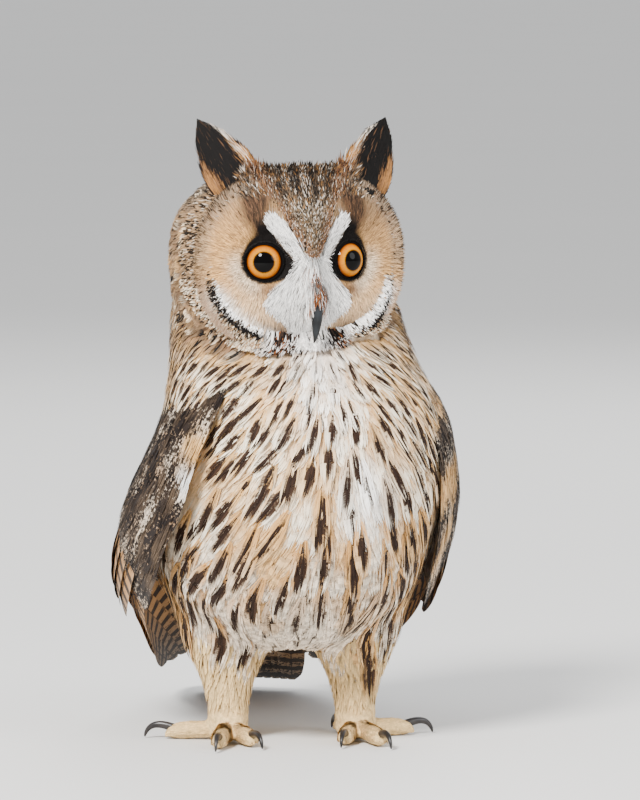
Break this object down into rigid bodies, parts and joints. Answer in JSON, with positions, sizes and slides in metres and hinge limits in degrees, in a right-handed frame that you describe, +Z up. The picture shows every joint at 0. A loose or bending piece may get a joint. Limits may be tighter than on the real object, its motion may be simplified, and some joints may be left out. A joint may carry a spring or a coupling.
{
  "type": "long-eared owl",
  "caption": "Standing owl with raised ear tufts, round facial disc, orange eyes, hooked bill, folded wings and feathered feet; still life-size model.",
  "frame": {"origin": "on the floor, under the middle of the bounding box", "axes": "+Z up, the body faces -Y, +X is the bird's left side"},
  "size_m": [0.1472, 0.243, 0.2643],
  "materials": {
    "plumage_buff": "soft barred and streaked buff and cream plumage",
    "plumage_face": "fine hair-like buff plumage of the facial disc, white brow, black rim",
    "plumage_wing": "firm barred and mottled brown flight feathers and coverts",
    "tuft_black": "blackish ear tuft plumage with buff edges",
    "eye_orange": "wet gloss, orange iris and black pupil",
    "lid_black": "bare black skin of the lid edge",
    "bill_horn": "dark slate horn, satin",
    "claw_horn": "black horn, satin",
    "leg_buff": "short dense buff plumage of legs and toes"
  },
  "bodies": {
    "root": {"bill_lower": "bill_horn", "bill_upper": "bill_horn", "claw_hind_left": "claw_horn", "claw_hind_right": "claw_horn", "claw_inner_left": "claw_horn", "claw_inner_right": "claw_horn", "claw_middle_left": "claw_horn", "claw_middle_right": "claw_horn", "claw_outer_left": "claw_horn", "claw_outer_right": "claw_horn", "ear_tuft_left": "tuft_black", "ear_tuft_right": "tuft_black", "eye_left": "eye_orange", "eye_right": "eye_orange", "eyelid_left": "lid_black", "eyelid_right": "lid_black", "foot_left": "leg_buff", "foot_right": "leg_buff", "head": "plumage_face", "leg_left": "leg_buff", "leg_right": "leg_buff", "neck": "plumage_buff", "tail": "plumage_wing", "torso": "plumage_buff", "wing_left": "plumage_wing", "wing_right": "plumage_wing"}
  },
  "joints": []
}
